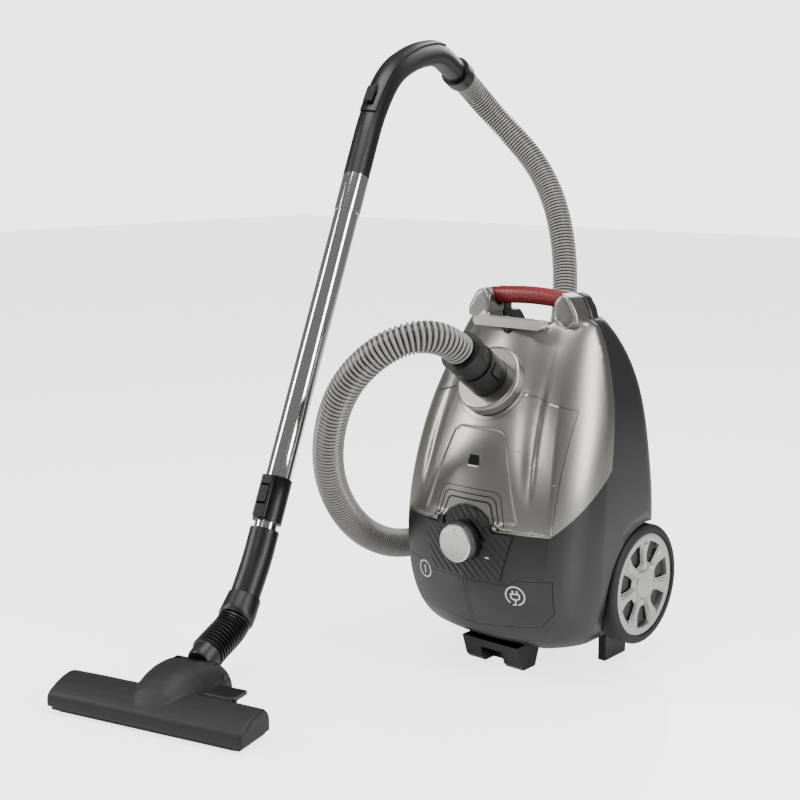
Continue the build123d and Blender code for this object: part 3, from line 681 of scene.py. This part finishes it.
def round_shoulders(mesh):
    """Soften the shoulders' corners, less and less towards the shell below them."""
    held = [v for v in mesh.verts if on_shoulder((v.co - CANISTER) * 1000)]
    for _ in range(14):
        bmesh.ops.smooth_vert(mesh, verts=held, factor=0.5, use_axis_x=True, use_axis_y=True, use_axis_z=True)
        held = [v for v in held if (v.co.z * 1000) > 446]


def pressed_front(name, node):
    """A finely divided copy of a front panel with the relief pressed into it."""
    obj = mesh_object(name, [], [])
    mesh = bmesh.new()
    mesh.from_mesh(frame["nodes"][node].data)
    bmesh.ops.remove_doubles(mesh, verts=mesh.verts, dist=0.00001)
    for _ in range(7):
        long_edges = []
        for e in mesh.edges:
            where = ((e.verts[0].co + e.verts[1].co) / 2 - CANISTER) * 1000
            if where.y < -50 and 195 < where.z < 440 and abs(where.x) < 112:
                if e.calc_length() * 1000 > front_detail(where.x, where.z):
                    long_edges.append(e)
            elif on_shoulder(where) and e.calc_length() > 0.003:
                long_edges.append(e)
        if not long_edges:
            break
        bmesh.ops.subdivide_edges(mesh, edges=long_edges, cuts=1)
        bmesh.ops.triangulate(mesh, faces=[f for f in mesh.faces if len(f.verts) > 3])
    for v in mesh.verts:
        where = (v.co - CANISTER) * 1000
        if where.y < -50 and where.z > 195:
            v.co.y += relief(where.x, where.z) / 1000
    round_shoulders(mesh)
    mesh.to_mesh(obj.data)
    mesh.free()
    return smooth(obj, 32)


class CLEANER_OT_front(bpy.types.Operator):
    """Press the sunk panel and side channels into the silver front and lay black strips of painted shade along
    its fine arch grooves
    """
    bl_idname = "cleaner.front"
    bl_label = "Sculpted front"

    def execute(self, context):
        upper = pressed_front("sculpted_upper_front", "upper_front_shell")
        lid = pressed_front("sculpted_bag_lid", "bag_lid")
        window = pressed_front("smoked_bag_window", "bag_full_window")
        paint(upper, FINISH["silver_shell"], "silver_shell", "canister", "upper_front_shell")
        rear = pressed_front("rounded_rear_housing", "rear_housing")
        paint(rear, FINISH["dark_shell"], "dark_shell", "canister", "rear_housing")
        paint(lid, FINISH["silver_shell"], "silver_shell", "lid", "bag_lid")
        paint(window, FINISH["clear_window"], "clear_window", "lid", "bag_full_window")
        arches = []
        # Painted shade: thin black strips laid on the lid stand in for the shade in the three arch grooves.
        for k, (half_top, half_foot, top, width) in enumerate(
                ((31, 41, 233, 2.2), (37.5, 47.5, 240, 1.5), (44, 54, 247, 1.0))):
            line = rounded_arch(half_top, half_foot, 206, top, 9 + 2 * k)
            points = [tip(x, BEFORE_FRONT, z) for x, z in line]
            arches.append(laid_strip(f"arch_groove_shade_{k}", points, width / 1000, lid, 0.0002))
        arch = join(*arches)
        arch.name = "arch_groove_shade_strips"
        paint(arch, FINISH["black_plastic"], "black_plastic", "lid")
        return {"FINISHED"}


def rounded_arch(half_top, half_foot, foot, top, radius):
    """A narrow arch with rounded shoulders, as (x, z) points in mm."""
    right = []
    for k in range(13):
        z = foot + (top - radius - foot) * k / 12
        right.append((half_foot + (half_top - half_foot) * (z - foot) / (top - foot), z))
    edge = right[-1][0]
    for k in range(1, 9):
        a = math.pi / 2 * k / 8
        right.append((edge - radius * (1 - math.cos(a)), top - radius + radius * math.sin(a)))
    inner = right[-1][0]
    right += [(inner - inner * k / 8, top) for k in range(1, 8)]
    return right + [(0.0, top)] + [(-x, z) for x, z in reversed(right)]


# ---- marks on the controls --------------------------------------------------------------------
POWER_SYMBOL = (-72.0, 128.0)   # middle of each symbol across and up, mm
REWIND_SYMBOL = (70.0, 121.0)
MARK_LINE = 0.0016              # width of a printed line, m
PRINT_PROUD = 0.0001
BEFORE_FRONT = -230             # a plane in front of the canister from which lines drop, mm


class CLEANER_OT_marks(bpy.types.Operator):
    """Print the white symbols on the pedals, the dial's mark and its two end marks"""
    bl_idname = "cleaner.marks"
    bl_label = "Printed marks"

    def execute(self, context):
        power, rewind = frame["nodes"]["power_pedal"], frame["nodes"]["rewind_pedal"]
        front = BEFORE_FRONT
        x, z = POWER_SYMBOL
        ring = laid_strip("power_ring", arc_points(x, z, front, 11, 0, 350, 40)[:-1], MARK_LINE, power,
                          PRINT_PROUD, closed=True)
        bar = laid_strip("power_bar", run_points([(x, z - 5.5), (x, z + 5.5)], front), MARK_LINE, power,
                         PRINT_PROUD)
        sign = join(ring, bar)
        sign.name = "power_symbol"
        paint(sign, FINISH["print"], "latch_silver", "power_pedal")
        x, z = REWIND_SYMBOL
        strips = [
            arc_points(x, z, front, 12, -75, 235, 36),
            run_points([(x - 5.5, z + 2.5), (x + 5.5, z + 2.5)], front),
            run_points([(x - 5.5, z + 2.5), (x - 5.5, z - 3.0), (x - 2.5, z - 5.0), (x + 2.5, z - 5.0),
                        (x + 5.5, z - 3.0), (x + 5.5, z + 2.5)], front),
            run_points([(x - 2.8, z + 2.5), (x - 2.8, z + 7.0)], front),
            run_points([(x + 2.8, z + 2.5), (x + 2.8, z + 7.0)], front),
            run_points([(x, z - 5.0), (x, z - 12.0), (x - 4.0, z - 12.6)], front),
        ]
        sign = join(*[laid_strip(f"plug_{k}", points, MARK_LINE, rewind, PRINT_PROUD)
                      for k, points in enumerate(strips)])
        sign.name = "rewind_symbol"
        paint(sign, FINISH["print"], "latch_silver", "rewind_pedal")
        panel = frame["nodes"]["control_panel"]
        low = [run_points([(side * 33, 166), (side * 38, 165.5)], front) for side in (-1, 1)]
        signs = [laid_strip(f"end_mark_{k}", points, 0.0018, panel, PRINT_PROUD) for k, points in enumerate(low)]
        sign = join(*signs)
        sign.name = "dial_end_marks"
        paint(sign, FINISH["print"], "latch_silver", "canister")
        knob = frame["nodes"]["power_knob"]
        mark = laid_strip("dial_mark", run_points([(0, 198), (0, 203)], front), MARK_LINE, knob, PRINT_PROUD)
        paint(mark, FINISH["black_plastic"], "black_plastic", "knob")
        return {"FINISHED"}


# ---- wheel caps -------------------------------------------------------------------------------
SPOKES = 7
CAP_STATIONS = (6, 12, 16.5, 18.0, 18.7, 19.9, 21, 25, 29.4, 30.0, 34, 40, 46, 52, 56.4, 57.0, 59, 62, 65.5,
                67.4, 68)        # radii of the rings of points, mm
WINDOW = (30.0, 56.4)            # the openings' inner and outer radius, mm
WINDOW_DEPTH = 5.0
WHEEL_MIDDLE = (15.0, 106.0)     # the wheels' axis, back and up from the floor point, mm
CAP_FACE, CAP_THICK = 143.0, 11.5


def cap_height(r, share, open_here):
    """The cap's height above its rim, in mm. Share runs from a spoke's middle 0 to its edge 1."""
    if r < 18.4:
        return 0.9 - 0.9 * (r / 18.0) ** 2 + 0.6
    if r < 19.5:
        return -0.9
    if open_here:
        return -WINDOW_DEPTH
    if r > 67.5:
        return -2.0
    if r > 57.2:
        return 0.6 if r < 66 else 0.0
    bands = 2.3 if share < 0.42 else (1.0 if share < 0.75 else -0.5)
    dish = -2.4 * math.sin(math.pi * (r - 19.5) / 38)
    fade = ease((r - 20) / 6) * ease((58 - r) / 4)
    return bands * fade + dish


def wheel_cap(name, side):
    """A spoked cap: rings of points from the middle out, with each ring's points gathered at
    the spokes' edges so that every opening has crisp walls."""
    wheel, face, rim = WHEEL_MIDDLE, CAP_FACE, CAP_STATIONS[-1]
    stations = (0.0, 0.4, 0.44, 0.73, 0.77, 1.0)
    sector = math.pi / SPOKES
    rings = []
    for r in CAP_STATIONS:
        narrow = 7.6 + 1.0 * abs(r - 40) / 17 + 3.2 * ease((r - 36) / 20)
        edge = min(narrow / r, sector * 0.8)
        ring = []
        for k in range(SPOKES):
            angles = [(edge * t, t, False) for t in stations]
            angles += [(edge + 0.012, 1.0, True), ((edge + sector) / 2, 1.0, True), (sector, 1.0, True)]
            both = [(-a, t, o) for a, t, o in reversed(angles[1:-1])] + angles
            for a, t, o in both:
                around = 2 * math.pi * k / SPOKES + a
                height = cap_height(r, t, o and WINDOW[0] <= r <= WINDOW[1])
                ring.append(tip(side * (face + height), wheel[0] + r * math.sin(around),
                                wheel[1] + r * math.cos(around)))
        rings.append(ring)
    count = len(rings[0])
    verts = [tip(side * (face + 1.5), *wheel)]
    for ring in rings:
        verts += ring
    back = [tip(side * (face - CAP_THICK), wheel[0] + rim * math.sin(2 * math.pi * k / count),
                wheel[1] + rim * math.cos(2 * math.pi * k / count)) for k in range(count)]
    shift = round(count / SPOKES / 2)
    back = back[-shift + 1:] + back[:-shift + 1]
    verts += back
    faces = [(0, 1 + (k + 1) % count, 1 + k) for k in range(count)]
    for i in range(len(rings)):
        for k in range(count):
            n = (k + 1) % count
            a, b = 1 + i * count, 1 + (i + 1) * count
            faces.append((a + k, a + n, b + n, b + k))
    faces.append(tuple(1 + len(rings) * count + k for k in range(count)))
    obj = mesh_object(name, verts, faces)
    settle(obj)
    smooth(obj, 30)
    paint(obj, FINISH["wheel_silver"], "wheel_silver", f"wheel_{'right' if side > 0 else 'left'}",
          f"wheel_cap_{'right' if side > 0 else 'left'}")
    obj.data.materials.append(FINISH["black_plastic"])
    limit = abs(tip(side * (face - WINDOW_DEPTH + 2), 0, 0).x - CANISTER.x)
    for f in obj.data.polygons:
        r = math.hypot((f.center.y - CANISTER.y) * 1000 - wheel[0], f.center.z * 1000 - wheel[1])
        if abs(f.center.x - CANISTER.x) < limit and WINDOW[0] - 1 < r < WINDOW[1] + 1:
            f.material_index = 1
    return obj


class CLEANER_OT_wheels(bpy.types.Operator):
    """Model the two spoked wheel caps"""
    bl_idname = "cleaner.wheels"
    bl_label = "Wheel caps"

    def execute(self, context):
        wheel_cap("spoked_cap_right", 1)
        wheel_cap("spoked_cap_left", -1)
        return {"FINISHED"}


# ---- floor head and its neck --------------------------------------------------------------------
# The body from its front foot over the top to its back foot, back and up, mm
HEAD_PROFILE = ((0, 7), (0, 14), (0.4, 20.5), (3.2, 25), (10, 29), (20, 33.5), (32, 37), (44, 38.5), (53, 36.5),
                (59.5, 30), (62, 22), (62, 14), (62, 7))
# Place across the head in mm, and how tall the profile is there
HEAD_STATIONS = ((-138, 0.93), (-135.5, 0.985), (-100, 1.0), (-50, 1.0), (0, 1.0), (50, 1.0), (100, 1.0),
                 (135.5, 0.985), (138, 0.93))
# Place back from the head's front, half width and height of the hump, mm
HUMP_STATIONS = ((5, 16, 25), (14, 27, 34), (26, 35, 44), (40, 40, 52), (56, 43, 57.5), (72, 45.5, 60),
                 (92, 47, 59.5), (112, 47, 56), (127, 44, 49), (135, 38, 39))
HEAD_VOXEL = 0.0016             # fine enough to keep the lip's rounding, m


def lofted(name, sections):
    """A closed solid through equal rings of points."""
    count = len(sections[0])
    verts = [p for section in sections for p in section]
    faces = []
    for i in range(len(sections) - 1):
        for k in range(count):
            n = (k + 1) % count
            faces.append((i * count + k, i * count + n, (i + 1) * count + n, (i + 1) * count + k))
    last = (len(sections) - 1) * count
    faces.append(tuple(range(count)))
    faces.append(tuple(last + k for k in range(count - 1, -1, -1)))
    return settle(mesh_object(name, verts, faces))


class CLEANER_OT_head(bpy.types.Operator):
    """Model the floor head's rounded cover with its hump, and the ribbed neck"""
    bl_idname = "cleaner.head"
    bl_label = "Floor head"

    def execute(self, context):
        body = lofted("head_body", [
            [wand_point(x, 31 + (y - 31) * (1 - (1 - k) * 0.6), 7 + (z - 7) * k) for y, z in HEAD_PROFILE]
            for x, k in HEAD_STATIONS])
        sections = []
        for y, half, top in HUMP_STATIONS:
            ring = []
            for k in range(21):
                a = math.pi * k / 20
                u, w = math.cos(a), math.sin(a)
                ring.append(wand_point(half * math.copysign(abs(u) ** 0.8, u), y, 11 + (top - 11) * w ** 0.75))
            sections.append(ring)
        hump = lofted("head_hump", sections)
        cover = join(body, hump)
        cover.name = "rounded_head_cover"
        finish(cover, "REMESH", mode="VOXEL", voxel_size=HEAD_VOXEL)
        finish(cover, "SMOOTH", factor=0.5, iterations=7)
        deselect()
        bpy.ops.mesh.primitive_cube_add(size=1, location=wand_point(0, 158, 112),
                                        rotation=(0, 0, HEAD_TURN))
        slot_block = context.object
        slot_block.scale = (0.0465, 0.136, 0.196)
        bpy.ops.object.transform_apply(location=True, rotation=True, scale=True)
        finish(cover, "BOOLEAN", operation="DIFFERENCE", object=slot_block, solver="EXACT")
        bpy.data.objects.remove(slot_block)
        smooth(cover, 40)
        paint(cover, FINISH["head_plastic"], "head_plastic", "floor_head", "head_cover")

        route = [wand_point(0, y, z) for y, z in ((225.8, 98.7), (202.2, 68.1), (158, 57), (120, 44))]
        points, lengths = smooth_line(route)
        total = lengths[-1]
        # Distance along the neck in m and radius in mm: a cone, then the bellows' ribs
        radii = [(0.0, 19.8), (0.0005, 21.2), (0.004, 21.9), (0.024, 23.4), (0.0335, 23.6), (0.0345, 22.8),
                 (0.035, 19.6)]
        s = 0.0365
        while s < total - 0.022:
            radii += [(s, 19.0), (s + 0.0012, 21.8), (s + 0.0034, 22.0), (s + 0.0046, 19.0)]
            s += 0.0056
        radii += [(s, 18.6), (total - 0.004, 18.0), (total, 16.0)]
        centres = [at_length(points, lengths, d) for d, _ in radii]
        rings = []
        side = (WAND.to_3x3() @ Vector((1, 0, 0))).normalized()
        for (d, r), centre in zip(radii, centres):
            ahead = at_length(points, lengths, min(d + 0.002, total))
            back = at_length(points, lengths, max(d - 0.002, 0.0))
            other = (ahead - back).normalized().cross(side)
            turns = [2 * math.pi * k / 48 for k in range(48)]
            rings.append([centre + (side * math.cos(a) + other * math.sin(a)) * r / 1000 for a in turns])
        neck = lofted("bellows", rings)
        barrel = lofted("yoke", [
            [wand_point(x, 112 + r * math.cos(2 * math.pi * k / 40), 36 + r * math.sin(2 * math.pi * k / 40))
             for k in range(40)] for x, r in ((-29.5, 14.5), (-28.5, 15.5), (28.5, 15.5), (29.5, 14.5))])
        neck = join(neck, barrel)
        neck.name = "bellows_neck"
        smooth(neck, 50)
        paint(neck, FINISH["black_plastic"], "black_plastic", "neck", "ribbed_neck")
        return {"FINISHED"}


class CLEANER_OT_stage(bpy.types.Operator):
    """Set the pale floor, the soft lights and the camera"""
    bl_idname = "cleaner.stage"
    bl_label = "Stage"

    def execute(self, context):
        values = context.scene.cleaner_stage
        deselect()
        bpy.ops.mesh.primitive_plane_add(size=16, location=(0, 0, -0.0005))
        floor = context.object
        floor.name = "floor"
        mat, shader = start_material("glossy_white_floor", "#f6f6f6", 0.16, ior=1.5)
        shader.inputs["Base Color"].default_value = (*values.floor_tone, 1)
        shader.inputs["Emission Color"].default_value = (1, 1, 1, 1)
        seen = add(mat, "ShaderNodeLightPath")
        glow = add(mat, "ShaderNodeMapRange", {"To Min": 0.25, "To Max": values.floor_glow},
                   Value=seen.outputs["Is Camera Ray"])
        mat.node_tree.links.new(glow.outputs["Result"], shader.inputs["Emission Strength"])
        soft = add(mat, "ShaderNodeTexNoise", {"Scale": 3.0, "Detail": 2.0},
                   Vector=place(mat, 1000).outputs["Vector"])
        gloss = add(mat, "ShaderNodeMapRange", {"To Min": 0.14, "To Max": 0.2}, Value=soft.outputs["Fac"])
        mat.node_tree.links.new(gloss.outputs["Result"], shader.inputs["Roughness"])
        floor.data.materials.append(mat)

        world = bpy.data.worlds.new("studio")
        world.use_nodes = True
        nodes, links = world.node_tree.nodes, world.node_tree.links
        shown = nodes["Background"]
        shown.inputs["Color"].default_value = (1, 1, 1, 1)
        shown.inputs["Strength"].default_value = values.sweep
        soft_fill = nodes.new("ShaderNodeBackground")
        soft_fill.inputs["Color"].default_value = (1, 1, 1, 1)
        soft_fill.inputs["Strength"].default_value = values.fill
        ray = nodes.new("ShaderNodeLightPath")
        mix = nodes.new("ShaderNodeMixShader")
        links.new(ray.outputs["Is Camera Ray"], mix.inputs[0])
        links.new(soft_fill.outputs[0], mix.inputs[1])
        links.new(shown.outputs[0], mix.inputs[2])
        links.new(mix.outputs[0], nodes["World Output"].inputs["Surface"])
        context.scene.world = world

        lamps = [
            ("top_light", (0.1, -0.2, 2.4), (0.0, 0.0, 0.2), 1.5, 1.5, values.key_power),
            ("left_light", (-1.7, -1.5, 1.3), (0.1, 0.0, 0.3), 0.5, 1.9, values.key_power * 0.8),
            ("right_light", (1.9, 0.1, 1.1), (0.1, 0.0, 0.3), 0.5, 1.8, values.key_power * 0.75),
            ("front_light", (0.3, -2.6, 1.6), (0.1, 0.0, 0.3), 0.9, 0.9, values.key_power * 0.35),
            ("back_light", (-0.6, 2.2, 1.6), (0.1, 0.0, 0.3), 1.2, 1.2, values.key_power * 0.5),
        ]
        for name, place_at, aim, width, height, power in lamps:
            lamp = bpy.data.lights.new(name, "AREA")
            lamp.energy = power
            lamp.shape = "RECTANGLE"
            lamp.size = width
            lamp.size_y = height
            obj = bpy.data.objects.new(name, lamp)
            obj.location = place_at
            obj.rotation_euler = (Vector(aim) - Vector(place_at)).to_track_quat("-Z", "Y").to_euler()
            obj.visible_camera = False
            context.scene.collection.objects.link(obj)

        lens = bpy.data.cameras.new("camera")
        lens.lens = values.lens
        lens.sensor_width = 36
        lens.clip_start = 0.05
        camera = bpy.data.objects.new("camera", lens)
        camera.location = (1.1700, -1.3779, 0.672)
        camera.rotation_euler = (math.radians(79.5), 0.0, math.radians(40.5))
        context.scene.collection.objects.link(camera)
        context.scene.camera = camera
        return {"FINISHED"}


class CLEANER_PT_panel(bpy.types.Panel):
    """Lists the steps that make the cleaner."""
    bl_idname = "CLEANER_PT_panel"
    bl_label = "Canister cleaner"
    bl_space_type = "VIEW_3D"
    bl_region_type = "UI"
    bl_category = "Cleaner"

    def draw(self, context):
        for step in STEPS:
            self.layout.operator(step.bl_idname)
        for group in (context.scene.cleaner_hose, context.scene.cleaner_stage):
            for key in group.bl_rna.properties.keys():
                if key not in ("rna_type", "name"):
                    self.layout.prop(group, key)


GROUPS = (HoseSettings, StageSettings)
STEPS = (CLEANER_OT_finishes, CLEANER_OT_stage, CLEANER_OT_hose, CLEANER_OT_front, CLEANER_OT_marks,
         CLEANER_OT_wheels, CLEANER_OT_head)


def register():
    for item in (*GROUPS, *STEPS, CLEANER_PT_panel):
        bpy.utils.register_class(item)
    bpy.types.Scene.cleaner_hose = PointerProperty(type=HoseSettings)
    bpy.types.Scene.cleaner_stage = PointerProperty(type=StageSettings)


def unregister():
    del bpy.types.Scene.cleaner_stage
    del bpy.types.Scene.cleaner_hose
    for item in (CLEANER_PT_panel, *reversed(STEPS), *reversed(GROUPS)):
        bpy.utils.unregister_class(item)


def main():
    register()
    for step in STEPS:
        area, name = step.bl_idname.split(".")
        getattr(getattr(bpy.ops, area), name)()


if __name__ == "__main__":
    main()
